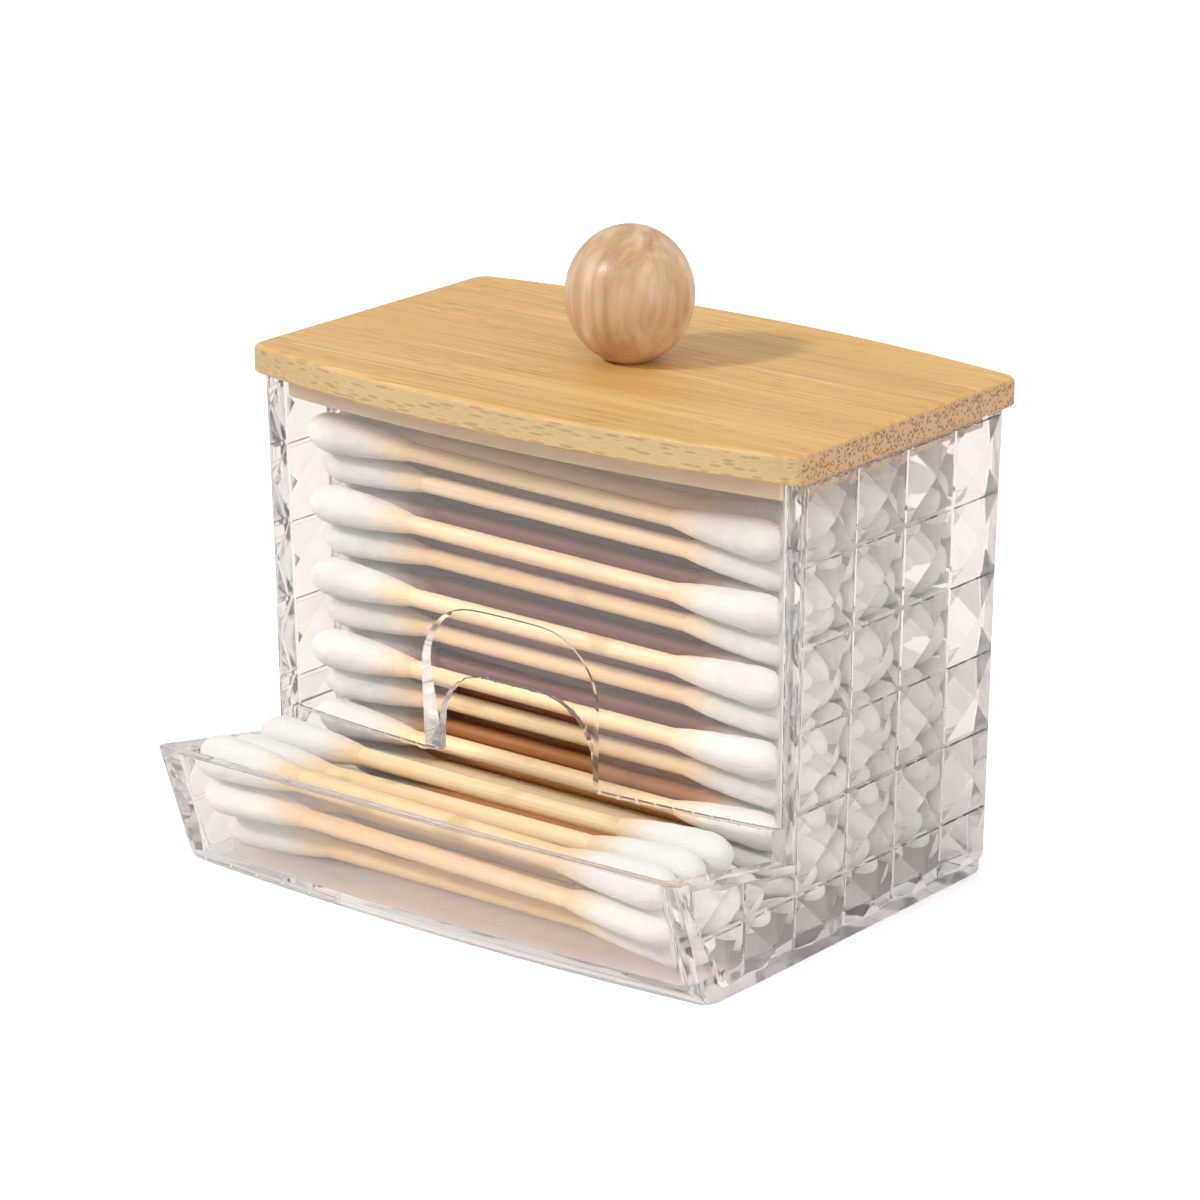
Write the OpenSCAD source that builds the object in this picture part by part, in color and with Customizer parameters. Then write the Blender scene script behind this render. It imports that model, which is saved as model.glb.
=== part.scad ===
// Cotton swab holder: a clear moulded tub with faceted sides and a front tray,
// a bamboo lid with a wooden ball knob, and the swabs that it holds.
// Millimetres. The tub stands on z = 0, its front faces -Y, and the origin is
// under the middle of the whole object.

/* [Tub] */
// Outside width across the flat side walls, at the rim
body_w = 86; // [80:1:110]
// Outside depth of the chamber at the side walls, at the rim
body_d = 45.4; // [40:0.2:70]
// Height of the chamber's rim
body_h = 63; // [50:1:90]
// How far the front and back walls bow outwards at the middle
body_bow = 3.4; // [1:0.2:5]
// How far each wall leans in from the rim to the base
draft = 1.2; // [0.4:0.1:1.6]
// Thickness of the front and back walls
wall_t = 2.4; // [1.6:0.1:3]
// Thickness of the side walls under the facets
side_t = 2.8; // [2:0.1:4]
// Thickness of the floor
floor_t = 3; // [2:0.2:5]
// Outside radius of the upright corners
corner_r = 1.4; // [0.8:0.1:3]

/* [Tray] */
// How far the tray's foot reaches out from the chamber's front corners
tray_reach = 17.4; // [14:0.2:24]
// How much further the tray's rim leans out than its foot
tray_lean = 6; // [2:0.2:9]
// Height of the tray's rim at the front
rim_front_h = 18; // [14:0.5:22]
// Height of the tray's rim where it meets the chamber
rim_back_h = 13.8; // [10:0.2:17]
// Bow of the tray's front at its foot
foot_bow = 2; // [0.4:0.2:4]
// Bow of the tray's front at its rim
rim_bow = 0.8; // [0.2:0.2:4]
// Radius of the tray's lower front edge
foot_r = 2.4; // [0.8:0.2:4]
// Thickness of the tray's front wall
tray_t = 2.2; // [1.4:0.1:3]

/* [Front panel] */
// Height of the panel's lower edge, over the slot that feeds the tray
slot_h = 17.5; // [12:0.5:22]
// Width of the finger notch
notch_w = 25; // [18:0.5:34]
// Height of the finger notch above the slot
notch_h = 11.5; // [6:0.5:16]
// Radius of the notch's upper corners
notch_r = 8; // [3:0.5:9]
// How far the shallow dish reaches past the notch at each side
dish_side = 3; // [1:0.1:6]
// How far the dish rises above the notch
dish_rise = 9.5; // [4:0.5:14]
// Radius of the dish's upper corners
dish_r = 10; // [4:0.5:11]
// Depth of the dish at its foot
dish_depth = 1.3; // [0.3:0.1:1.4]
// Depth of the dish at its top, where it runs out
dish_fade = 0.15; // [0.1:0.05:0.6]
// How far the dish's flank leans from a straight cut, in degrees
dish_splay = 60; // [30:1:70]

/* [Side facets] */
// Number of facet columns on the chamber's side
facet_cols = 4; // [3:1:6]
// Flat margin between an upright corner and the facets
facet_frame = 1.3; // [1:0.1:3]
// Height of a facet's point above the flat wall
facet_h = 1.3; // [0.6:0.1:1.6]
// Height above the flat wall of the floor of the grooves between facets
facet_base = 0.1; // [0.1:0.05:0.3]
// Width of a groove between two facets
facet_valley = 0.5; // [0.2:0.05:1]
// Depth of a groove between two facets
facet_groove = 0.25; // [0.05:0.05:0.4]
// Smooth band left above the base
facet_foot = 2.2; // [1:0.1:4]
// Smooth band left below the rim
facet_rim = 0.8; // [0.5:0.1:3]

/* [Lid] */
// Thickness of the lid board
lid_t = 3.8; // [3:0.2:7]
// How far the lid reaches past the tub's corners
lid_over = 1.1; // [0.3:0.1:2]
// Bow of the lid's front and back edges
lid_bow = 4.8; // [2:0.2:6]
// Radius of the lid's corners
lid_r = 2; // [1:0.2:4]
// Easing of the lid's upper edge
lid_ease = 0.7; // [0.3:0.1:1.2]
// Height of the plug that drops into the chamber
plug_h = 3; // [2:0.2:5]
// Clearance round the plug
plug_gap = 0.4; // [0.3:0.05:0.8]

/* [Knob] */
// Width of the wooden ball
knob_w = 16.8; // [12:0.2:24]
// How much taller than wide the ball is turned
knob_tall_share = 1.08; // [1:0.01:1.15]
// Width of the flat that the ball stands on
knob_seat = 5; // [4:0.2:8]
// Diameter of the screw's shank
screw_d = 3; // [2:0.1:4]
// Diameter of the screw's head
screw_head_d = 6; // [5:0.2:8]
// Length of the screw
screw_l = 16; // [12:0.5:17]
// Radial clearance round the screw
screw_gap = 0.05; // [0.02:0.01:0.1]

/* [Swabs] */
// Room left past each end of a swab at the floor
end_gap = 0.8; // [0.4:0.1:4]
// Diameter of the wooden stick
stick_d = 2.4; // [1.8:0.1:2.6]
// Diameter of a cotton tip at its widest
tip_d = 5.3; // [4.6:0.05:5.35]
// Length of a cotton tip
tip_l = 14.5; // [12:0.5:18]
// Length of a tip's widest part
tip_belly = 3; // [1:0.5:5]
// Cotton beyond the stick's end
tip_cap = 2.2; // [1:0.1:3]
// Gap between neighbouring swabs of a layer
side_gap = 0.49; // [0.4:0.01:0.9]
// Gap between a swab and those below it, at the left-hand tips
rest_left = 0.44; // [0.4:0.01:0.6]
// Gap between a swab and those below it, at the right-hand tips
rest_right = 0.27; // [0.25:0.01:0.4]
// Largest stray of a tip from its place
stray = 0.07; // [0:0.01:0.1]

/* [Hidden] */
half_w = body_w / 2;
half_d = body_d / 2;
foot_y = half_d + tray_reach;
rim_y = foot_y + tray_lean;
front_y = rim_y + rim_bow;
back_y = half_d + lid_over + lid_bow;
// The chamber's middle, seen from the middle of the whole object.
chamber_y = (front_y - back_y) / 2;

// Gap left between two parts that only touch
touch = 0.1;
// Overrun of every cut past its face
over = 1;
// Gap between a stick and the cotton wound round it
stick_gap = 0.05;
// How deep the facets are rooted in the side wall
facet_root = 1;
// Easing of the lid's lower edge
lid_under = 0.3;
// Radius of the chamber's inner corners
inner_r = 1;
// Points along one half of a bowed edge, and round a corner
bow_steps = 14;
corner_steps = 5;
arch_steps = 8;

facet_cell = (body_d - 2 * facet_frame) / facet_cols;
facet_rows = ceil(body_h / facet_cell);
facet_front = ceil((front_y - half_d) / facet_cell);
draft_angle = atan(draft / body_h);

dish_w = notch_w + 2 * dish_side;
dish_h = notch_h + dish_rise;

// A swab fits between the side walls where they have leaned in most.
swab_l = body_w - 2 * (side_t + draft + end_gap);
tip_r = tip_d / 2;
stick_r = stick_d / 2;
// The radius of a tip where it runs out on the stick
neck_r = stick_r + (tip_r - stick_r) / 5;
// Half the distance between the middles of a swab's two bellies
reach = swab_l / 2 - tip_r;
// Height of the lowest layer above the ground
bed_z = floor_t + tip_r + touch;
// The room for whole layers under the lid's plug
stack_room = body_h - plug_h - touch - tip_r - bed_z;
swab_pitch = tip_d + side_gap;
layer_left = sqrt(pow(tip_d + rest_left, 2) - pow(swab_pitch / 2, 2));
layer_right = sqrt(pow(tip_d + rest_right, 2) - pow(swab_pitch / 2, 2));
layers = floor(stack_room / layer_left) + 1;
// The room for swabs beside each other between the leaning walls
stack_depth = body_d + 2 * (bow_at(reach, half_w - draft, body_bow) - wall_t - draft);
full_count = floor((stack_depth - tip_d) / swab_pitch) + 1;
stack_front = (full_count - 1) * swab_pitch / 2;

// Swabs in the tray: left tip forward, left tip up, right tip forward, right
// tip up, as shares of a tip's diameter from the stack's lowest front tip.
tray_place_shares = [
    [1.10, 0.00, 1.10, 0.00],
    [2.18, 0.00, 2.16, 0.00],
    [3.26, 0.00, 3.24, 0.00],
    [1.67, 0.97, 1.65, 0.94],
    [2.73, 0.97, 2.71, 0.94],
    [4.11, 1.08, 4.02, 0.74],
    [3.43, 1.86, 3.30, 1.82],
    [2.18, 1.98, 2.24, 1.91],
    [4.45, 2.10, 4.33, 1.75]
];

// The tray takes each of these swabs that its walls leave room for.
tray_places = [
    for (s = tray_place_shares) let (
        left = [stack_front + s[0] * tip_d, bed_z + s[1] * tip_d],
        right = [stack_front + s[2] * tip_d, bed_z + s[3] * tip_d]
    ) if (tray_takes(left) && tray_takes(right)) [left, right]
];

clear = [0.9, 0.88, 0.89, 0.35];
bamboo = [0.83, 0.64, 0.38];
beech = [0.87, 0.7, 0.52];
birch = [0.93, 0.83, 0.66];
cotton = [0.97, 0.97, 0.96];
steel = [0.72, 0.72, 0.74];

// How far a bowed edge stands out at x.
function bow_at(x, half, bow) = bow * (1 - pow(x / half, 2));

// How far the walls have leaned in at height z.
function lean_in(z) = draft * (1 - z / body_h);

// A quarter of an outline: half of a bowed edge, then its rounded corner.
function quarter(half, d, bow, r) =
    let (
        a = atan(2 * bow / half),
        xt = half - r + r * sin(a),
        yc = d + r * tan(a) - r / cos(a)
    )
    concat(
        [for (i = [0 : bow_steps]) let (x = xt * i / bow_steps) [x, d + bow_at(x, half, bow)]],
        [for (i = [1 : corner_steps]) let (t = (90 - a) * (1 - i / corner_steps))
            [half - r + r * cos(t), yc + r * sin(t)]]
    );

function reversed(list) = [for (i = [len(list) - 1 : -1 : 0]) list[i]];

function without_first(list) = [for (i = [1 : len(list) - 1]) list[i]];

// A closed outline from its back quarter and its front quarter.
function outline(back, front) = concat(
    [for (p = back) p],
    [for (p = reversed(without_first(front))) [p.x, -p.y]],
    [for (p = front) [-p.x, -p.y]],
    [for (p = reversed(without_first(back))) [-p.x, p.y]]
);

// A quarter moved in at the side and the end, with the same curve.
function inner_quarter(half, d, bow, side_in, end_in, r) =
    let (edge = bow_at(half - side_in, half, bow))
    quarter(half - side_in, d - end_in + edge, bow - edge, r);

// The chamber's outline at height z, moved in by side_in and end_in.
function chamber_ring(z, side_in, end_in, r) =
    let (q = inner_quarter(half_w - lean_in(z), half_d - lean_in(z), body_bow, side_in, end_in, r))
    [for (p = outline(q, q)) [p.x, p.y, z]];

// Share of the way up the tray's front wall.
function rim_share(z) = z / rim_front_h;

// How far the rounded foot pulls the front in at height z.
function foot_pull(z, r) = z < r ? r - sqrt(r * r - pow(r - z, 2)) : 0;

// The tray's outline at height z. Its back stays inside the chamber.
function tray_ring(z, side_in, end_in, r, foot, back_at = 0) =
    let (
        half = half_w - lean_in(z),
        bow = foot_bow + (rim_bow - foot_bow) * rim_share(z),
        y = foot_y + tray_lean * rim_share(z) - foot_pull(z, foot),
        back = quarter(half - side_in, back_at, touch, touch),
        front = inner_quarter(half, y, bow, side_in, end_in, r)
    )
    [for (p = outline(back, front)) [p.x, p.y, z]];

// The same outline, with its top on the sloping plane of the rim.
function rim_z(y) = rim_back_h + (rim_front_h - rim_back_h) * (-y - half_d) / (rim_y - half_d);
function on_rim(ring) = [for (p = ring) [p.x, p.y, rim_z(p.y)]];

// Whether the tray has room for a tip this far forward and this high: behind
// its front wall, and in front of the panel where it reaches over the slot.
function tray_takes(place) =
    let (
        lean = atan(tray_lean / rim_front_h),
        edge = bow_at(reach, half_w, foot_bow + (rim_bow - foot_bow) * rim_share(place.y)),
        wall = foot_y + tray_lean * rim_share(place.y) + edge - tray_t,
        under = place.y + tip_r < slot_h,
        before = place.x > half_d + bow_at(reach, half_w, body_bow) + tip_r
            && place.x > half_d + body_bow + stick_r
    )
    (wall - place.x) * cos(lean) > tip_r && (under || before);

// An arch with rounded upper corners, from a base line at z = 0.
function arch(w, h, corner) =
    let (r = min(corner, w / 2, h))
    concat(
        [[w / 2, 0]],
        [for (i = [0 : arch_steps]) let (t = 90 * i / arch_steps)
            [w / 2 - r + r * cos(t), h - r + r * sin(t)]],
        [for (i = [0 : arch_steps]) let (t = 90 + 90 * i / arch_steps)
            [-w / 2 + r + r * cos(t), h - r + r * sin(t)]],
        [[-w / 2, 0]]
    );

// A solid through rings that have as many points each. Seen from outside the
// first ring, its points run anticlockwise.
module skin(rings) {
    n = len(rings[0]);
    top = len(rings) - 1;
    polyhedron(
        points = [for (ring = rings) for (p = ring) p],
        faces = concat(
            [[for (i = [n - 1 : -1 : 0]) i]],
            [[for (i = [0 : n - 1]) top * n + i]],
            [for (k = [0 : top - 1]) for (i = [0 : n - 1]) let (j = (i + 1) % n)
                [k * n + i, (k + 1) * n + j, (k + 1) * n + i]],
            [for (k = [0 : top - 1]) for (i = [0 : n - 1]) let (j = (i + 1) % n)
                [k * n + i, k * n + j, (k + 1) * n + j]]
        )
    );
}

module placed() {
    translate([0, chamber_y, 0]) children();
}

// The chamber's full block, inset all round, from z0 to z1.
module chamber_block(z0, z1, side_in = 0, end_in = 0, r = corner_r) {
    skin([chamber_ring(z0, side_in, end_in, r), chamber_ring(z1, side_in, end_in, r)]);
}

module tray_block() {
    foot_steps = 4;
    low = [for (i = [0 : foot_steps]) let (t = 90 * i / foot_steps) foot_r * (1 - cos(t))];
    skin(concat(
        [for (z = low) tray_ring(z, 0, 0, corner_r, foot_r)],
        [on_rim(tray_ring(rim_front_h, 0, 0, corner_r, foot_r))]
    ));
}

// The room inside the tray, from the floor up to a height.
module tray_space(top) {
    skin([for (z = [floor_t, top]) tray_ring(z, side_t, tray_t, inner_r, 0, over)]);
}

// The outline of a row of facets, rooted below the wall's face: a tooth for
// each facet, and a groove with a flat floor between two.
module sawtooth(cells) {
    polygon(concat(
        [[-facet_root, 0], [facet_base, 0]],
        [for (i = [0 : cells - 1], tooth = [
            [facet_base, facet_valley / 2],
            [facet_base + facet_groove, (facet_valley + facet_groove) / 2],
            [facet_h, facet_cell / 2],
            [facet_base + facet_groove, facet_cell - (facet_valley + facet_groove) / 2],
            [facet_base, facet_cell - facet_valley / 2]
        ]) [tooth.x, i * facet_cell + tooth.y]],
        [[facet_base, cells * facet_cell], [-facet_root, cells * facet_cell]]
    ));
}

// The part of the side wall that carries facets, seen from the side.
module facet_field() {
    main_y = half_d - facet_frame;
    low = body_h - facet_foot;
    tray_low_y = foot_y - facet_frame - foot_r;
    tray_top_y = rim_y - facet_frame - tray_lean * facet_frame / rim_front_h;
    polygon([
        [main_y, -facet_rim],
        [main_y, -low],
        [-tray_low_y, -low],
        [-tray_top_y, -body_h + rim_front_h - facet_frame],
        [-main_y, -body_h + rim_back_h - facet_frame],
        [-main_y, -facet_rim]
    ]);
}

// Square pyramids side by side: the overlap of upright and level sawteeth.
module side_facets() {
    wide = (facet_cols + facet_front) * facet_cell;
    tall = facet_rows * facet_cell;
    thick = facet_root + facet_h;
    translate([half_w, 0, body_h]) rotate([0, draft_angle, 0]) intersection() {
        translate([0, half_d - facet_frame - wide, -tall])
            linear_extrude(height = tall) sawtooth(facet_cols + facet_front);
        translate([0, half_d - facet_frame, -tall]) rotate([90, 0, 0])
            linear_extrude(height = wide) sawtooth(facet_rows);
        translate([-facet_root, 0, 0]) rotate([90, 0, 90])
            linear_extrude(height = thick) facet_field();
    }
}

// An upright arch in front of the panel, at depth y from its foremost point,
// drawn in all round by inset.
function panel_arch(w, h, r, y, inset = 0) =
    [for (p = arch(w - 2 * inset, h - inset, max(r - inset, touch)))
        [p.x, y - half_d - body_bow, slot_h - over + p.y]];

module finger_notch() {
    skin([
        for (y = [-over, body_bow + wall_t + 2 * over])
            panel_arch(notch_w, notch_h + over, notch_r, y)
    ]);
}

// Depth of the dish's floor at height z.
function dish_in(z) = dish_depth + (dish_fade - dish_depth) * (z - slot_h) / dish_h;

module thumb_dish() {
    // The panel's face lies further back at the dish's foot than at its top.
    near = lean_in(slot_h + dish_h);
    far = lean_in(slot_h) + body_bow - bow_at(dish_w / 2, half_w, body_bow);
    deep = far + dish_depth;
    difference() {
        skin([
            panel_arch(dish_w, dish_h + over, dish_r, -over),
            panel_arch(dish_w, dish_h + over, dish_r, near),
            panel_arch(dish_w, dish_h + over, dish_r, deep, (deep - near) * tan(dish_splay)),
            panel_arch(dish_w, dish_h + over, dish_r, body_bow + wall_t, (deep - near) * tan(dish_splay))
        ]);
        skin([
            for (z = [0, slot_h + dish_h + over])
                chamber_ring(z, dish_in(z), dish_in(z), corner_r)
        ]);
    }
}

module tub() {
    color(clear) placed() difference() {
        union() {
            difference() {
                chamber_block(0, body_h);
                tray_space(slot_h);
            }
            difference() {
                tray_block();
                tray_space(rim_front_h + over);
            }
            side_facets();
            mirror([1, 0, 0]) side_facets();
        }
        chamber_block(floor_t, body_h + over, side_t, wall_t, inner_r);
        finger_notch();
        thumb_dish();
    }
}

// The lid's outline, moved in by inset, at height z.
function lid_ring(inset, z) =
    let (q = inner_quarter(half_w + lid_over, half_d + lid_over, lid_bow, inset, inset, lid_r))
    [for (p = outline(q, q)) [p.x, p.y, z]];

module lid_panel() {
    ease_steps = 4;
    skin(concat(
        [lid_ring(lid_under, 0), lid_ring(0, lid_under)],
        [for (i = [0 : ease_steps]) let (t = 90 * i / ease_steps)
            lid_ring(lid_ease * (1 - cos(t)), lid_t - lid_ease * (1 - sin(t)))]
    ));
}

// The screw's outline, head down, from its axis.
module screw_profile(gap) {
    head_r = screw_head_d / 2 + gap;
    shank_r = screw_d / 2 + gap;
    cone_h = head_r - shank_r;
    polygon([
        [0, -gap],
        [head_r, -gap],
        [shank_r, cone_h],
        [shank_r, screw_l - screw_d + gap],
        [0, screw_l + gap]
    ]);
}

// Where the screw's head lies, flush with the plug's underside.
screw_z = body_h - plug_h;

module screw_room() {
    translate([0, 0, screw_z]) rotate_extrude($fn = 48) screw_profile(screw_gap);
}

module lid_board() {
    color(bamboo) placed() difference() {
        union() {
            translate([0, 0, body_h]) lid_panel();
            chamber_block(body_h - plug_h, body_h + lid_under, side_t + plug_gap, wall_t + plug_gap, inner_r);
        }
        screw_room();
        translate([0, 0, screw_z - over]) cylinder(h = over, d = screw_head_d + 2 * screw_gap, $fn = 48);
    }
}

module knob() {
    ball_r = knob_w / 2;
    tall_r = ball_r * knob_tall_share;
    // How far the ball's middle stands over the flat that was cut on it.
    rise = tall_r * sqrt(1 - pow(knob_seat / knob_w, 2));
    lid_top = body_h + lid_t;
    color(beech) placed() difference() {
        translate([0, 0, lid_top + rise]) scale([1, 1, knob_tall_share]) sphere(r = ball_r, $fn = 96);
        translate([-knob_w, -knob_w, lid_top - knob_w]) cube([2 * knob_w, 2 * knob_w, knob_w]);
        screw_room();
    }
}

module knob_screw() {
    color(steel) placed() translate([0, 0, screw_z]) rotate_extrude($fn = 48) screw_profile(0);
}

// One swab's stick, lying along X round the middle.
module stick() {
    length = swab_l - 2 * tip_cap;
    translate([-length / 2, 0, 0]) rotate([0, 90, 0]) cylinder(h = length, r = stick_r, $fn = 24);
}

// One cotton tip: a round end, a belly and a long taper onto the stick.
module tip() {
    taper = tip_l - tip_r - tip_belly;
    translate([-swab_l / 2, 0, 0]) rotate([0, 90, 0]) difference() {
        rotate_extrude($fn = 32) {
            intersection() {
                translate([0, tip_r]) circle(r = tip_r, $fn = 32);
                square([tip_r, tip_r]);
            }
            translate([0, tip_r]) square([tip_r, tip_belly]);
            polygon([
                [0, tip_r + tip_belly],
                [tip_r, tip_r + tip_belly],
                [neck_r, tip_r + tip_belly + taper],
                [0, tip_r + tip_belly + taper]
            ]);
        }
        translate([0, 0, tip_cap]) cylinder(h = tip_l, r = stick_r + stick_gap, $fn = 24);
    }
}

module tip_pair() {
    tip();
    mirror([1, 0, 0]) tip();
}

// Lays a swab from its left tip's place to its right tip's place.
module laid(left, right) {
    middle = (left + right) / 2;
    run = 2 * reach;
    turn = atan((right.x - left.x) / run);
    dip = -atan((right.y - left.y) / run);
    translate([0, middle.x, middle.y]) rotate([0, dip, turn]) children();
}

// A small stray that differs from swab to swab and is always the same.
function stray_at(n) = stray * [sin(n * 137.5), cos(n * 222.5)];

// Whole layers and layers with one swab fewer lie in turn.
function layer_count(k) = k % 2 == 1 ? full_count : full_count - 1;
function layer_y(k, j) = -(layer_count(k) - 1) * swab_pitch / 2 + j * swab_pitch;

module layer_swabs(k) {
    for (j = [0 : layer_count(k) - 1]) {
        id = k * full_count + j;
        left = [layer_y(k, j), bed_z + (k - 1) * layer_left] + stray_at(id);
        right = [layer_y(k, j), bed_z + (k - 1) * layer_right] + stray_at(id + full_count * layers);
        laid(left, right) children();
    }
}

module tray_swabs() {
    for (p = tray_places)
        laid([-p[0].x, p[0].y], [-p[1].x, p[1].y]) children();
}

module layer_sticks(k) {
    color(birch) placed() layer_swabs(k) stick();
}

module layer_tips(k) {
    color(cotton) placed() layer_swabs(k) tip_pair();
}

module tray_sticks() {
    color(birch) placed() tray_swabs() stick();
}

module tray_tips() {
    color(cotton) placed() tray_swabs() tip_pair();
}

tub();
lid_board();
knob();
knob_screw();
for (k = [1 : layers]) layer_sticks(k);
for (k = [1 : layers]) layer_tips(k);
tray_sticks();
tray_tips();
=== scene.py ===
# Looks of the cotton swab holder: a clear faceted tub with a front tray, a
# bamboo lid with a wooden ball knob, and wooden swabs with cotton tips.
import math

import bmesh
import bpy
import numpy as np
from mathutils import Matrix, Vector


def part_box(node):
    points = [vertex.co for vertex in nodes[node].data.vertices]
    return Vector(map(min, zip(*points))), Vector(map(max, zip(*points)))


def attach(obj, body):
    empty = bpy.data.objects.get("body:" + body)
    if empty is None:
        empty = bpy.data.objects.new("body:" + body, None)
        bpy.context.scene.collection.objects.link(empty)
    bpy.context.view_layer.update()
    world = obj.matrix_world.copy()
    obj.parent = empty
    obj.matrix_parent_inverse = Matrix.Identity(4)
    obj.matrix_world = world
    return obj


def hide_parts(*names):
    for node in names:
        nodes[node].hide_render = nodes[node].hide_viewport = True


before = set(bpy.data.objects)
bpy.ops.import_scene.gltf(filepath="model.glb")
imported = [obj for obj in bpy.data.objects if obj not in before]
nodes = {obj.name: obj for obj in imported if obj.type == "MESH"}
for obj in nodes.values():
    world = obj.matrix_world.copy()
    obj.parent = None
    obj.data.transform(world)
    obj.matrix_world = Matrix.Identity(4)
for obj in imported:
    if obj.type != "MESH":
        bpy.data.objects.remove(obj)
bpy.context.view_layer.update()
scene = bpy.context.scene

MM = 0.001


def add_object(name, data):
    """A new object of this data, in the scene."""
    thing = bpy.data.objects.new(name, data)
    scene.collection.objects.link(thing)
    return thing


# Camera, at the photograph's viewing angle: place in metres, angles in degrees
CAMERA_PLACE = (0.3701, -0.47335, 0.2278)
CAMERA_YAW = 37.85
CAMERA_PITCH = 17.65
CAMERA_LENS = 146.6
CAMERA_SENSOR = 36
CAMERA_NEAR = 0.01
CAMERA_FAR = 20

camera_data = bpy.data.cameras.new("camera")
camera_data.lens = CAMERA_LENS
camera_data.sensor_width = CAMERA_SENSOR
camera_data.clip_start = CAMERA_NEAR
camera_data.clip_end = CAMERA_FAR
camera = add_object("camera", camera_data)
camera.location = CAMERA_PLACE
camera.rotation_euler = (math.radians(90 - CAMERA_PITCH), 0, math.radians(CAMERA_YAW))
scene.camera = camera


# Swabs inside the stack are darker than those at its faces, as on the photograph:
# where its front, back and top faces lie, and how fast the shade sets in behind them
STACK_FRONT = -5.3 * MM
STACK_BACK = 23.6 * MM
STACK_SIDE_SHADE = 1.6 * MM
STACK_TOP = 53.5 * MM
STACK_TOP_SHADE = 5 * MM
# The shade is a warm brown up to the finger notch, and a cooler one above it
STACK_WARM_Z = 11 * MM
STACK_COOL_Z = 22 * MM
STACK_WARM = (0.79, 0.44, 0.185)
STACK_COOL = (0.18, 0.06, 0.045)
# The swabs in the open tray, ahead of the front wall, get painted light: their colour is
# lighter there
TRAY_BACK = -12.1 * MM
TRAY_FADE = 1.4 * MM


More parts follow.
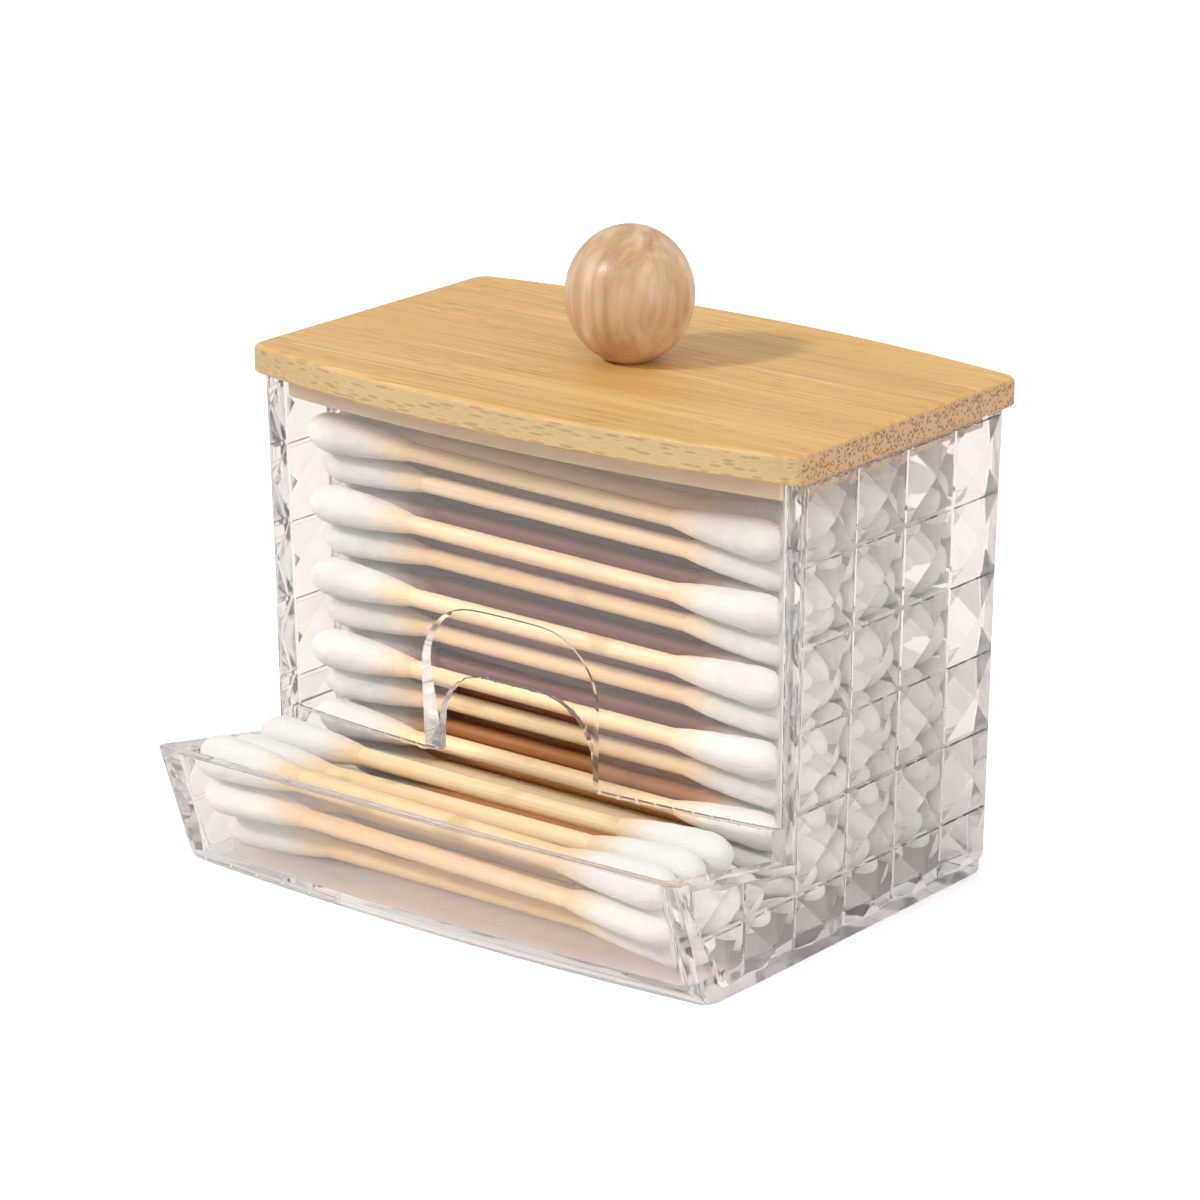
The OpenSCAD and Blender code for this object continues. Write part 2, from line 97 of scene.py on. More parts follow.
# Building materials from nodes
class Paint:
    """A material's node tree, with short ways to add and join nodes."""

    def __init__(self, name):
        self.material = bpy.data.materials.new(name)
        self.material.use_nodes = True
        self.tree = self.material.node_tree
        self.tree.nodes.clear()
        self.out = self.tree.nodes.new("ShaderNodeOutputMaterial")
        self.coord = self.tree.nodes.new("ShaderNodeTexCoord")

    def node(self, kind, **settings):
        """A shader node of this kind, with these settings."""
        made = self.tree.nodes.new("ShaderNode" + kind)
        for key, value in settings.items():
            setattr(made, key, value)
        return made

    def put(self, socket, value):
        """Joins a socket to another one, or sets it to a value."""
        if isinstance(value, bpy.types.NodeSocket):
            self.tree.links.new(value, socket)
        else:
            socket.default_value = value

    def place(self, scale=(1, 1, 1), move=(0, 0, 0), source=None):
        """The object's own coordinates, or another vector, stretched and moved."""
        mapping = self.node("Mapping")
        self.put(mapping.inputs["Vector"], source or self.coord.outputs["Object"])
        mapping.inputs["Scale"].default_value = scale
        mapping.inputs["Location"].default_value = move
        return mapping.outputs["Vector"]

    def noise(self, vector, scale, detail=3, rough=0.5, warp=0):
        """Soft noise around 0.5."""
        made = self.node("TexNoise")
        self.put(made.inputs["Vector"], vector)
        made.inputs["Scale"].default_value = scale
        made.inputs["Detail"].default_value = detail
        made.inputs["Roughness"].default_value = rough
        made.inputs["Distortion"].default_value = warp
        return made.outputs["Fac"]

    def cells(self, vector):
        """The distance to the nearest of many scattered points."""
        made = self.node("TexVoronoi", feature="F1")
        self.put(made.inputs["Vector"], vector)
        made.inputs["Scale"].default_value = 1
        made.inputs["Randomness"].default_value = 1
        return made.outputs["Distance"]

    def ramp(self, factor, stops):
        """A colour that runs through these stops, each a place and a colour."""
        made = self.node("ValToRGB")
        self.put(made.inputs["Fac"], factor)
        elements = made.color_ramp.elements
        while len(elements) < len(stops):
            elements.new(0.5)
        for element, (at, colour) in zip(elements, stops):
            element.position = at
            element.color = (*colour, 1)
        return made.outputs["Color"]

    def step(self, factor, low, high, to_low=0, to_high=1):
        """A value that goes from to_low to to_high while the factor goes from low to high."""
        made = self.node("MapRange")
        self.put(made.inputs["Value"], factor)
        made.inputs["From Min"].default_value = low
        made.inputs["From Max"].default_value = high
        made.inputs["To Min"].default_value = to_low
        made.inputs["To Max"].default_value = to_high
        return made.outputs["Result"]

    def calc(self, a, b, operation="ADD"):
        """The sum of two values, or what another operation makes of them."""
        made = self.node("Math", operation=operation)
        self.put(made.inputs[0], a)
        self.put(made.inputs[1], b)
        return made.outputs[0]

    def unsigned(self, value):
        """A value without its sign."""
        return self.calc(value, 0, "ABSOLUTE")

    def blend(self, factor, a, b, kind="MIX"):
        """A mix of two colours, which are the node's inputs 6 and 7 and output 2."""
        made = self.node("Mix", data_type="RGBA", blend_type=kind)
        self.put(made.inputs["Factor"], factor)
        self.put(made.inputs[6], a if isinstance(a, bpy.types.NodeSocket) else (*a, 1))
        self.put(made.inputs[7], b if isinstance(b, bpy.types.NodeSocket) else (*b, 1))
        return made.outputs[2]

    def bump(self, height, distance, under=None):
        """A normal that follows this height, on top of the one under it."""
        made = self.node("Bump")
        self.put(made.inputs["Height"], height)
        made.inputs["Distance"].default_value = distance
        made.inputs["Strength"].default_value = 1
        if under is not None:
            self.put(made.inputs["Normal"], under)
        return made.outputs["Normal"]

    def axes(self, source=None):
        """The object's own coordinates, or another vector's, one by one."""
        split = self.node("SeparateXYZ")
        self.put(split.inputs[0], source or self.coord.outputs["Object"])
        return split.outputs

    def in_stack(self):
        """How deep a point lies among the stacked swabs, from 0 at their faces to 1."""
        spot = self.axes()
        front = self.step(spot["Y"], STACK_FRONT, STACK_FRONT + STACK_SIDE_SHADE)
        back = self.step(spot["Y"], STACK_BACK, STACK_BACK - STACK_SIDE_SHADE)
        top = self.step(spot["Z"], STACK_TOP, STACK_TOP - STACK_TOP_SHADE)
        return self.calc(self.calc(front, back, "MINIMUM"), top, "MINIMUM")

    def painted_tray_light(self, tone, painted_lit):
        """A colour with painted light: it turns into the lit one ahead of the front wall."""
        ahead = self.step(self.axes()["Y"], TRAY_BACK, TRAY_BACK - TRAY_FADE)
        return self.blend(ahead, tone, painted_lit)

    def shaded(self, factor, tone):
        """A swab's colour, darkened by this factor of the shade inside the stack."""
        cool = self.step(self.axes()["Z"], STACK_WARM_Z, STACK_COOL_Z)
        shade = self.blend(cool, STACK_WARM, STACK_COOL)
        return self.blend(factor, tone, self.blend(1.0, tone, shade, "MULTIPLY"))

    def surface(self, **inputs):
        """A principled shader with these inputs, named with _ for a space."""
        made = self.node("BsdfPrincipled")
        for key, value in inputs.items():
            socket = made.inputs[key.replace("_", " ")]
            if isinstance(value, tuple) and len(value) == 3 and socket.type == "RGBA":
                value = (*value, 1)
            self.put(socket, value)
        self.put(self.out.inputs["Surface"], made.outputs[0])
        return made

    def by_ray(self, ray, otherwise, on_ray):
        """Shows one shader to rays of this kind, and another to the rest."""
        path = self.node("LightPath")
        mix = self.node("MixShader")
        self.put(mix.inputs["Fac"], path.outputs[ray])
        self.put(mix.inputs[1], otherwise.outputs[0])
        self.put(mix.inputs[2], on_ray.outputs[0])
        self.put(self.out.inputs["Surface"], mix.outputs[0])


def dress(thing, material):
    """Gives an object one material on all its faces."""
    thing.data.materials.clear()
    thing.data.materials.append(material)


# The clear plastic. Shadow rays pass straight through it, so the lamps light the swabs.
def clear_plastic():
    p = Paint("clear_plastic")
    waves = p.noise(p.place(), 130, detail=1)
    ripples = p.noise(p.place(move=(3, 1, 2)), 420, detail=2)
    rough = p.step(p.noise(p.place(), 900, detail=2), 0.35, 0.75, 0.01, 0.035)
    normal = p.bump(waves, 0.03 * MM, under=p.bump(ripples, 0.002 * MM))
    tint = p.ramp(p.noise(p.place(move=(1, 4, 0)), 150, detail=1), [
        (0.34, (0.972, 0.938, 0.955)),
        (0.50, (0.990, 0.970, 0.962)),
        (0.66, (0.972, 0.985, 0.972)),
    ])
    plastic = p.surface(
        Base_Color=tint,
        Roughness=rough,
        IOR=1.49,
        Transmission_Weight=0.965,
        Normal=normal,
    )
    through = p.node("BsdfTransparent")
    through.inputs["Color"].default_value = (0.94, 0.905, 0.89, 1)
    p.by_ray("Is Shadow Ray", plastic, through)
    return p.material


# Height of the tub's rim, and how far below it the plug's painted light has set in
RIM_Z = 63 * MM
PLUG_LIGHT_FADE = 0.5 * MM


# Laminated bamboo, with its fibres along X
def bamboo():
    p = Paint("bamboo")
    long_fine = p.noise(p.place(scale=(14, 900, 900)), 1, detail=4, rough=0.6)
    long_soft = p.noise(p.place(scale=(9, 190, 190)), 1, detail=3, rough=0.55)
    strips = p.noise(p.place(scale=(2.5, 62, 20), move=(4, 0.4, 0)), 1, detail=1)
    broad = p.noise(p.place(), 22, detail=2)
    base = p.ramp(long_soft, [
        (0.30, (0.53, 0.30, 0.085)),
        (0.48, (0.62, 0.37, 0.12)),
        (0.62, (0.675, 0.425, 0.15)),
        (0.78, (0.73, 0.485, 0.19)),
    ])
    base = p.blend(p.step(strips, 0.40, 0.62, 0, 0.45), base, (0.61, 0.34, 0.10))
    base = p.blend(p.step(long_fine, 0.50, 0.72, 0, 0.35), base, (0.50, 0.27, 0.08))
    dark_lines = p.noise(p.place(scale=(26, 1500, 1500), move=(7, 0, 0)), 1, detail=2)
    base = p.blend(p.step(dark_lines, 0.55, 0.66, 0, 0.55), base, (0.42, 0.215, 0.06))
    light_lines = p.noise(p.place(scale=(30, 1300, 1300), move=(2, 5, 0)), 1, detail=2)
    base = p.blend(p.step(light_lines, 0.58, 0.70, 0, 0.45), base, (0.86, 0.63, 0.33))
    base = p.blend(p.step(broad, 0.35, 0.7, 0, 0.22), base, (0.78, 0.545, 0.25))

    # Fibre bundles: dashes along the top, flecks on the edges, dark dots on the two ends
    facing = p.axes(p.node("NewGeometry").outputs["Normal"])
    end_face = p.step(p.unsigned(facing["X"]), 0.75, 0.95)
    edge_face = p.step(p.unsigned(facing["Z"]), 0.8, 0.3)

    dash_mask = p.step(p.cells(p.place(scale=(210, 1250, 1250))), 0.36, 0.16)
    rare = p.step(p.noise(p.place(scale=(45, 120, 120)), 1, detail=1), 0.44, 0.56)
    dashes = p.calc(dash_mask, rare, "MULTIPLY")
    base = p.blend(p.calc(dashes, 0.42, "MULTIPLY"), base, (0.36, 0.18, 0.055))

    edge_light = p.step(long_soft, 0.35, 0.65)
    edge_tone = p.blend(edge_light, (0.465, 0.325, 0.150), (0.535, 0.395, 0.202))
    fleck = p.cells(p.place(scale=(270, 1800, 1800), move=(3, 0, 0)))
    halo = p.step(fleck, 0.62, 0.45, 0, 0.35)
    edge_tone = p.blend(halo, edge_tone, (0.64, 0.49, 0.27))
    flecks = p.step(fleck, 0.46, 0.24, 0, 0.6)
    edge_tone = p.blend(flecks, edge_tone, (0.33, 0.19, 0.08))

    # Painted light: the plug below the rim, which is seen through the plastic, is made
    # lighter
    painted_plug_light = p.step(p.axes()["Z"], RIM_Z, RIM_Z - PLUG_LIGHT_FADE, 0, 0.95)
    edge_tone = p.blend(painted_plug_light, edge_tone, (0.96, 0.73, 0.46))
    base = p.blend(edge_face, base, edge_tone)

    dots = p.step(p.cells(p.place(scale=(0, 2100, 2100))), 0.52, 0.26, 0, 0.8)
    end_tone = p.blend(dots, (0.50, 0.315, 0.17), (0.155, 0.07, 0.035))
    base = p.blend(end_face, base, end_tone)
    rough = p.step(long_soft, 0.3, 0.7, 0.42, 0.56)
    normal = p.bump(long_fine, 0.03 * MM, under=p.bump(dashes, -0.04 * MM))
    p.surface(Base_Color=base, Roughness=rough, Specular_IOR_Level=0.4, Normal=normal)
    return p.material


# Height of the knob's foot, how far the red goes up from it, and how far the grain sways
KNOB_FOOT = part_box("knob")[0][2]
KNOB_RED = 5 * MM
KNOB_SWAY = 6 * MM


# Turned beech, with its grain along Z, a little redder at its foot
def beech():
    p = Paint("beech")
    sway = p.calc(p.noise(p.place(), 60, detail=2), KNOB_SWAY, "MULTIPLY")
    shift = p.node("CombineXYZ")
    p.put(shift.inputs[0], sway)
    p.put(shift.inputs[1], sway)
    add = p.node("VectorMath", operation="ADD")
    p.put(add.inputs[0], p.coord.outputs["Object"])
    p.put(add.inputs[1], shift.outputs[0])
    bent = add.outputs[0]
    rings = p.noise(p.place(scale=(420, 260, 22), source=bent), 1, detail=3, rough=0.6)
    pores = p.step(p.cells(p.place(scale=(1500, 1500, 190), source=bent)), 0.28, 0.08)
    tone = p.ramp(rings, [
        (0.28, (0.375, 0.20, 0.10)),
        (0.46, (0.49, 0.31, 0.165)),
        (0.60, (0.58, 0.415, 0.255)),
        (0.76, (0.675, 0.545, 0.395)),
    ])
    tone = p.blend(p.calc(pores, 0.3, "MULTIPLY"), tone, (0.42, 0.22, 0.11))
    foot = p.step(p.axes()["Z"], KNOB_FOOT, KNOB_FOOT + KNOB_RED, 0.55, 0)
    tone = p.blend(foot, tone, (0.60, 0.30, 0.17))
    rough = p.step(rings, 0.3, 0.7, 0.34, 0.46)
    normal = p.bump(pores, -0.02 * MM, under=p.bump(rings, 0.02 * MM))
    p.surface(
        Base_Color=tone, Roughness=rough, Specular_IOR_Level=0.45,
        Coat_Weight=0.12, Coat_Roughness=0.3, Normal=normal,
    )
    return p.material


# Birch sticks, each a little different, with the grain along X
def birch():
    p = Paint("birch")
    each = p.noise(p.place(scale=(4, 210, 210)), 1, detail=0)
    grain = p.noise(p.place(scale=(40, 2600, 2600)), 1, detail=3)
    tone = p.ramp(each, [
        (0.30, (0.655, 0.46, 0.25)),
        (0.50, (0.72, 0.54, 0.325)),
        (0.70, (0.76, 0.605, 0.39)),
    ])
    tone = p.blend(p.step(grain, 0.48, 0.75, 0, 0.4), tone, (0.54, 0.34, 0.155))
    node_band = p.noise(p.place(scale=(150, 200, 200), move=(0, 3, 0)), 1, detail=0)
    tone = p.blend(p.step(node_band, 0.70, 0.78, 0, 0.55), tone, (0.43, 0.33, 0.15))
    # Painted light: the sticks in the open tray, ahead of the front wall, are a tenth lighter
    tone = p.painted_tray_light(tone, p.blend(1.0, tone, (1.1, 1.1, 1.1), "MULTIPLY"))
    tone = p.shaded(p.in_stack(), tone)
    normal = p.bump(grain, 0.04 * MM)
    p.surface(
        Base_Color=tone, Roughness=p.step(grain, 0.3, 0.7, 0.5, 0.62),
        Specular_IOR_Level=0.35, Normal=normal,
    )
    return p.material


# Cotton wool, by the distance from the swab's middle. From COTTON_FULL outwards it
# is full, at COTTON_THIN the stick shows through, and fibres fray that edge by up
# to COTTON_FRAY. Inside the stack it is light outside COTTON_LIT, and in full
# shade at COTTON_DARK.
COTTON_FULL = 30.5 * MM
COTTON_THIN = 25 * MM
COTTON_LIT = 31 * MM
COTTON_DARK = 25 * MM
COTTON_FRAY = 6 * MM


def cotton():
    p = Paint("cotton")
    fluff = p.noise(p.place(), 900, detail=5, rough=0.65)
    fibres = p.noise(p.place(scale=(700, 3200, 3200)), 1, detail=3, warp=0.6)
    lumps = p.noise(p.place(), 260, detail=2)
    tone = p.ramp(lumps, [
        (0.30, (0.565, 0.56, 0.545)),
        (0.60, (0.635, 0.63, 0.615)),
    ])
    # Painted light: the tips in the open tray, ahead of the front wall, are lighter
    tone = p.painted_tray_light(tone, (0.735, 0.725, 0.705))
    along = p.unsigned(p.axes()["X"])
    ragged = p.calc(along, p.calc(fibres, COTTON_FRAY, "MULTIPLY"))
    tone = p.blend(p.step(ragged, COTTON_FULL, COTTON_THIN), tone, (0.735, 0.56, 0.33))
    shade = p.calc(p.in_stack(), p.step(along, COTTON_LIT, COTTON_DARK), "MULTIPLY")
    tone = p.shaded(shade, tone)
    normal = p.bump(fibres, 0.09 * MM, under=p.bump(fluff, 0.22 * MM))
    p.surface(
        Base_Color=tone, Roughness=p.step(fluff, 0.3, 0.7, 0.82, 0.98),
        Specular_IOR_Level=0.15, Sheen_Weight=0.35, Sheen_Roughness=0.6,
        Normal=normal,
    )
    return p.material


# Turned steel of the screw
def steel():
    p = Paint("steel")
    rings = p.noise(p.place(scale=(300, 300, 4000)), 1, detail=2)
    tone = p.ramp(rings, [(0.3, (0.50, 0.50, 0.52)), (0.7, (0.64, 0.64, 0.66))])
    p.surface(
        Base_Color=tone, Metallic=1.0, Roughness=p.step(rings, 0.3, 0.7, 0.26, 0.42),
        Normal=p.bump(rings, 0.02 * MM),
    )
    return p.material


PLASTIC = clear_plastic()
BAMBOO = bamboo()
BEECH = beech()
BIRCH = birch()
COTTON = cotton()
STEEL = steel()


# The tub: the CAD's shape with its edges softened and its curves shaded smooth
#
# How far an edge is softened, and from what angle between its faces, in degrees
EDGE_SOFT = 0.22 * MM
EDGE_ANGLE = 40
# A face narrower than this has no room for a softened edge
NARROW_STRIP = 0.48 * MM
# Just outside the flat of the side walls at the rim, and how they lean in below it
SIDE_X = 43.04 * MM
SIDE_LEAN = 1.2 / 63
# Vertices closer than these are one: those the CAD's mesh repeats, and its slivers
WELD = 0.002 * MM
SLIVER = 0.05 * MM
# Faces that meet at less than this, in degrees, become one
FLAT_ANGLE = 0.25
# Facets lean from the side wall by this many degrees, and this share is added
FACET_LEAN = (6, 22)
FACET_BOOST = 0.18
# A face wider than this, or one that faces along X, is shaded flat: it only takes
# in the normals of neighbours that turn less than FLAT_TURN. Others take in ROUND_TURN.
NARROW = 2.2 * MM
SIDEWAYS = 0.93
FLAT_TURN = math.cos(math.radians(2.5))
ROUND_TURN = math.cos(math.radians(27))
# Two edges of a face run against each other where their directions' product is below this
AGAINST = -0.2


def welded(source):
    """A bmesh of a CAD node with its split vertices joined."""
    bm = bmesh.new()
    bm.from_mesh(source.data)
    bmesh.ops.remove_doubles(bm, verts=bm.verts, dist=WELD)
    return bm


def steeper(normal):
    """A facet's normal, leaning further from the side wall's, so that it bends
    light as strongly as the photograph's deeper cut facets."""
    wall = Vector((math.copysign(1, normal.x), 0, -SIDE_LEAN)).normalized()
    lean = math.degrees(normal.angle(wall))
    if FACET_LEAN[0] < lean < FACET_LEAN[1]:
        return (normal + (normal - wall) * FACET_BOOST).normalized()
    return normal


def corner_normals(mesh):
    """Shades bowed walls and rounded edges smooth, and flat facets flat."""
    bm = bmesh.new()
    bm.from_mesh(mesh)
    bm.normal_update()
    area = {f: f.calc_area() for f in bm.faces}
    normals = []
    for face in bm.faces:
        width = area[face] / max(e.calc_length() for e in face.edges)
        keep_flat = abs(face.normal.x) > SIDEWAYS or width > NARROW
        limit = FLAT_TURN if keep_flat else ROUND_TURN
        for loop in face.loops:
            total = Vector()
            for other in loop.vert.link_faces:
                if other.normal.dot(face.normal) > limit:
                    total += other.normal * area[other]
            normals.append(steeper(total.normalized() if total.length else face.normal))
    bm.free()
    mesh.normals_split_custom_set(normals)


def strip_width(edge):
    """The narrowest that a face beside this edge gets across it."""
    narrowest = math.inf
    for loop in edge.link_loops:
        run = (loop.link_loop_next.vert.co - loop.vert.co).normalized()
        for other in loop.face.loops:
            ends = (other.vert, other.link_loop_next.vert)
            if loop.vert in ends or loop.link_loop_next.vert in ends:
                continue
            if (ends[1].co - ends[0].co).normalized().dot(run) < AGAINST:
                narrowest = min(narrowest, segment_gap(edge, other.edge))
    return narrowest


def segment_gap(first, second):
    """The distance between two edges that don't cross."""
    gaps = []
    for one, two in ((first, second), (second, first)):
        a, b = (v.co for v in one.verts)
        for vert in two.verts:
            share = max(0, min(1, (vert.co - a).dot(b - a) / (b - a).length_squared))
            gaps.append((vert.co - a.lerp(b, share)).length)
    return min(gaps)


def may_soften(edge):
    """Whether an edge is sharp, off the facets, and has room for a bevel."""
    if math.degrees(edge.calc_face_angle(0)) < EDGE_ANGLE:
        return False
    if any(abs(v.co.x) > SIDE_X - SIDE_LEAN * (RIM_Z - v.co.z) for v in edge.verts):
        return False
    if edge.calc_length() > NARROW_STRIP:
        for face in edge.link_faces:
            if face.calc_area() < NARROW_STRIP * max(e.calc_length() for e in face.edges):
                return False
    return strip_width(edge) > NARROW_STRIP


def make_tub():
    """The dressed tub, in place of the CAD's."""
    bm = welded(nodes["tub"])
    bmesh.ops.remove_doubles(bm, verts=bm.verts, dist=SLIVER)
    bm.normal_update()
    hard = [e for e in bm.edges if may_soften(e)]
    bmesh.ops.bevel(
        bm, geom=hard, offset=EDGE_SOFT, offset_type="OFFSET", segments=2, profile=0.5,
        affect="EDGES", clamp_overlap=False,
    )
    bmesh.ops.dissolve_limit(
        bm, angle_limit=math.radians(FLAT_ANGLE), verts=bm.verts, edges=bm.edges,
        delimit=set(),
    )
    for face in bm.faces:
        face.smooth = True
    mesh = bpy.data.meshes.new("clear_tub")
    bm.to_mesh(mesh)
    bm.free()
    corner_normals(mesh)
    tub = add_object("clear_tub", mesh)
    dress(tub, PLASTIC)
    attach(tub, "holder")
    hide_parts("tub")


make_tub()


# The swabs: cotton wound on each stick's ends
#
# How far a tip goes past its stick, its length and radius, and the radius of the
# neck where it thins out on the stick
TIP_CAP = 2.2 * MM
TIP_LONG = 17 * MM
TIP_R = 2.62 * MM
NECK_R = 1.225 * MM
# The rounded head's share of the tip's length
HEAD_SHARE = 0.24
# Rings and sides of a tip's mesh
TIP_RINGS = 40
TIP_SIDES = 34
# The cotton's unevenness: puffs as a share of the radius, the winding's height, the
# scatter of single points, and how far a tip bends aside
PUFF = 0.022
WINDING = 0.018 * MM
SCATTER = 0.012 * MM
BENT = 0.12 * MM
# The lengths over which the puffs, and the winding and scatter, set in at the tip's
# end and fade out at its neck
PUFF_FADE = (1 * MM, 2 * MM)
COVER_FADE = (2 * MM, 3 * MM)
# Vertices of a stick's end lie this close to its end along X
END_ZONE = 0.3 * MM
# A tip's first ring has no size, and its points become one
POLE_WELD = 0.004 * MM


def stick_axes(source):
    """The two ends of each stick in a CAD node, from its separate solids."""
    bm = welded(source)
    seen = set()
    axes = []
    for start in bm.verts:
        if start in seen:
            continue
        seen.add(start)
        island = []
        queue = [start]
        while queue:
            vert = queue.pop()
            island.append(vert.co.copy())
            for edge in vert.link_edges:
                other = edge.other_vert(vert)
                if other not in seen:
                    seen.add(other)
                    queue.append(other)
        low = min(v.x for v in island)
        high = max(v.x for v in island)
        ends = []
        for at in (low, high):
            ring = [v for v in island if abs(v.x - at) < END_ZONE]
            ends.append(sum(ring, Vector()) / len(ring))
        axes.append(ends)
    bm.free()
    return sorted(axes, key=lambda ends: (round(ends[0].z, 5), ends[0].y))


def tip_profile(along, fat):
    """Radius of a cotton tip at these distances from its end: a rounded head, and
    then a slow fall to the neck."""
    share = np.clip(along / TIP_LONG, 0, 1)
    head = np.sqrt(np.clip(1 - (1 - np.clip(share / HEAD_SHARE, 0, 1)) ** 2.2, 0, 1))
    fall = np.clip((share - HEAD_SHARE) / (1 - HEAD_SHARE), 0, 1)
    body = 1 - fall ** 1.35 * (1 - 0.16 * np.sin(math.pi * fall))
    neck = NECK_R * (fall > 0)
    return neck * np.clip(head * 3, 0, 1) + (
        (TIP_R * fat - neck) * head * np.where(fall > 0, body, 1)
    )


def faded(along, fade):
    """A factor that grows from 0 at the tip's end and goes back to 0 at its neck."""
    return np.clip(along / fade[0], 0, 1) * np.clip((TIP_LONG - along) / fade[1], 0, 1)


def tip_mesh(end, inner, rng):
    """The points of one tip, from its stick's end and the stick's other end."""
    axis = (end - inner).normalized()
    side = axis.cross(Vector((0, 0, 1))).normalized()
    up = side.cross(axis)
    pole = np.array(end + axis * TIP_CAP)
    axis, side, up = (np.array(v) for v in (axis, side, up))
    share = np.linspace(0, 1, TIP_RINGS) ** 1.25
    along = share * TIP_LONG
    angle = np.linspace(0, 2 * math.pi, TIP_SIDES, endpoint=False)
    d, a = np.meshgrid(along, angle, indexing="ij")
    r = tip_profile(d, rng.uniform(0.965, 1.0))
    puff = np.zeros_like(r)
    for lobes in (1, 2, 3, 5):
        turn = rng.uniform(0, 2 * math.pi)
        pitch = rng.uniform(150, 420)
        puff += rng.uniform(0.3, 1) / lobes * np.sin(lobes * a + pitch * d + turn)
    winding = np.sin(a * 2 + d * rng.uniform(1500, 2100) + rng.uniform(0, 6))
    cover = faded(d, COVER_FADE)
    r = r * (1 + PUFF * puff * faded(d, PUFF_FADE))
    r = r + winding * WINDING * cover
    r = r + rng.normal(0, SCATTER, r.shape) * cover
    droop = BENT * (1 - share)[:, None] * rng.normal(0, 1)
    points = (
        pole
        - d[..., None] * axis
        + (r * np.cos(a))[..., None] * side
        + (r * np.sin(a))[..., None] * up
        + droop[..., None] * side
    )
    return points.reshape(-1, 3)


def tip_faces(offset):
    """The faces of one tip, whose points start at this place in the mesh."""
    faces = []
    for i in range(TIP_RINGS - 1):
        for j in range(TIP_SIDES):
            k = (j + 1) % TIP_SIDES
            a = offset + i * TIP_SIDES + j
            b = offset + i * TIP_SIDES + k
            faces.append((a, b, b + TIP_SIDES, a + TIP_SIDES))
    return faces


def make_tips(name, sticks, tips, seed):
    """The cotton tips of one layer's sticks, in place of the CAD's."""
    rng = np.random.default_rng(seed)
    points = []
    faces = []
    for left, right in stick_axes(nodes[sticks]):
        for end, inner in ((left, right), (right, left)):
            faces += tip_faces(len(points) * TIP_RINGS * TIP_SIDES)
            points.append(tip_mesh(end, inner, rng))
    mesh = bpy.data.meshes.new(name)
    mesh.from_pydata(np.concatenate(points).tolist(), [], faces)
    bm = bmesh.new()
    bm.from_mesh(mesh)
    bmesh.ops.remove_doubles(bm, verts=bm.verts, dist=POLE_WELD)
    holes = [e for e in bm.edges if e.is_boundary]
    caps = bmesh.ops.holes_fill(bm, edges=holes, sides=TIP_SIDES + 2)["faces"]
    bmesh.ops.recalc_face_normals(bm, faces=bm.faces)
    for face in bm.faces:
        face.smooth = True
    for face in caps:
        for edge in face.edges:
            edge.smooth = False
    bm.to_mesh(mesh)
    bm.free()
    piece = add_object(name, mesh)
    dress(piece, COTTON)
    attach(piece, "holder")
    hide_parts(tips)


LAYER_SEED = 100
TRAY_SEED = 90
layers = sum(name.startswith("layer_") and name.endswith("_sticks") for name in nodes)
for k in range(1, layers + 1):
    make_tips(f"cotton_{k}", f"layer_{k}_sticks", f"layer_{k}_tips", LAYER_SEED + k)
    dress(nodes[f"layer_{k}_sticks"], BIRCH)
make_tips("cotton_tray", "tray_sticks", "tray_tips", TRAY_SEED)
dress(nodes["tray_sticks"], BIRCH)


# Lid, knob and screw keep the CAD's shapes
dress(nodes["lid_board"], BAMBOO)
dress(nodes["knob"], BEECH)
dress(nodes["knob_screw"], STEEL)


# Floor, light and background
#
# The camera sees the floor white. What the object catches of it is greyer, with a
# painted shadow within this reach, under the object.
FOOT_X = 42 * MM
FOOT_Y = 37 * MM
# Half the floor's width, in metres, and its height
FLOOR_HALF = 3
FLOOR_Z = -0.3 * MM


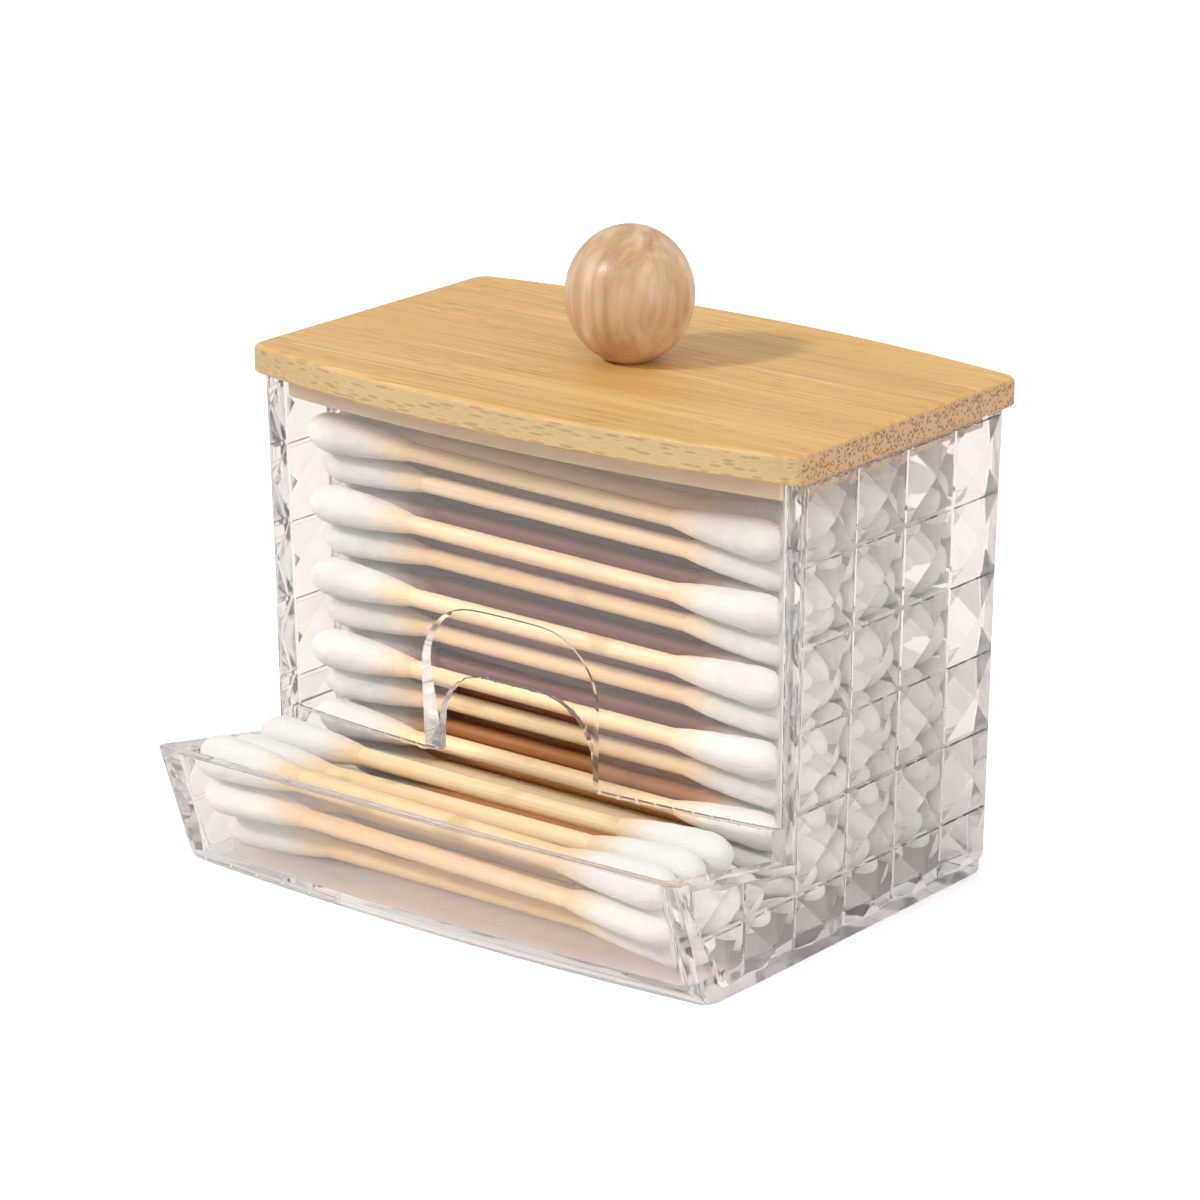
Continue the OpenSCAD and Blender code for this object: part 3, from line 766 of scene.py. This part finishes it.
def make_floor():
    """The floor, which is not attached to any of the object's bodies."""
    p = Paint("floor")
    tone = p.ramp(p.noise(p.place(), 3, detail=2), [
        (0.3, (0.93, 0.925, 0.92)),
        (0.7, (0.95, 0.945, 0.94)),
    ])
    seen = p.surface(
        Base_Color=tone, Roughness=0.9, Specular_IOR_Level=0.1,
        Emission_Color=(1.0, 0.985, 0.98), Emission_Strength=0.4,
    )
    spot = p.axes()
    aside = p.calc(spot["X"], FOOT_X, "DIVIDE")
    ahead = p.calc(spot["Y"], FOOT_Y, "DIVIDE")
    off = p.calc(p.unsigned(aside), p.unsigned(ahead), "MAXIMUM")
    caught = p.node("BsdfDiffuse")
    # Painted shadow: what the object catches of the floor is darker under the object
    under = p.blend(p.step(off, 0.9, 1.05), (0.59, 0.545, 0.53), (0.88, 0.845, 0.83))
    p.put(caught.inputs["Color"], under)
    p.by_ray("Is Camera Ray", caught, seen)
    turns = ((-1, -1), (1, -1), (1, 1), (-1, 1))
    corners = [(x * FLOOR_HALF, y * FLOOR_HALF, FLOOR_Z) for x, y in turns]
    mesh = bpy.data.meshes.new("floor")
    mesh.from_pydata(corners, [], [(0, 1, 2, 3)])
    floor = add_object("floor", mesh)
    dress(floor, p.material)


# Each sun stands this far from a point this high above the floor, in metres
SUN_AWAY = 1.2
SUN_AIM_Z = 0.03


def make_sun(name, strength, azimuth, elevation, colour, width):
    """A sun at the object from an azimuth and elevation, this wide, all in degrees.

    It isn't seen through the plastic, because shadow rays already count it there."""
    data = bpy.data.lights.new(name, "SUN")
    data.energy = strength
    data.color = colour
    data.angle = math.radians(width)
    light = add_object(name, data)
    a = math.radians(azimuth)
    e = math.radians(elevation)
    back = Vector((math.sin(a) * math.cos(e), -math.cos(a) * math.cos(e), math.sin(e)))
    light.location = back * SUN_AWAY + Vector((0, 0, SUN_AIM_Z))
    light.visible_transmission = False
    light.rotation_mode = "QUATERNION"
    light.rotation_quaternion = (-back).to_track_quat("-Z", "Y")


# The studio's even light
AMBIENT = (1.0, 0.965, 0.94, 1)
AMBIENT_STRENGTH = 0.785

make_floor()
make_sun("key", 1.85, -28, 38, (1.0, 0.985, 0.96), 7)
make_sun("fill", 1.05, 88, 14, (1.0, 0.975, 0.96), 40)

world = bpy.data.worlds.new("studio")
scene.world = world
world.use_nodes = True
background = world.node_tree.nodes["Background"]
background.inputs["Color"].default_value = AMBIENT
background.inputs["Strength"].default_value = AMBIENT_STRENGTH

scene.view_settings.view_transform = "Standard"
# Light crosses many faces of the clear plastic, and is often thrown back inside it
scene.cycles.max_bounces = 64
scene.cycles.transmission_bounces = 60
scene.cycles.transparent_max_bounces = 24
scene.cycles.diffuse_bounces = 4
scene.cycles.glossy_bounces = 60

bpy.context.view_layer.update()
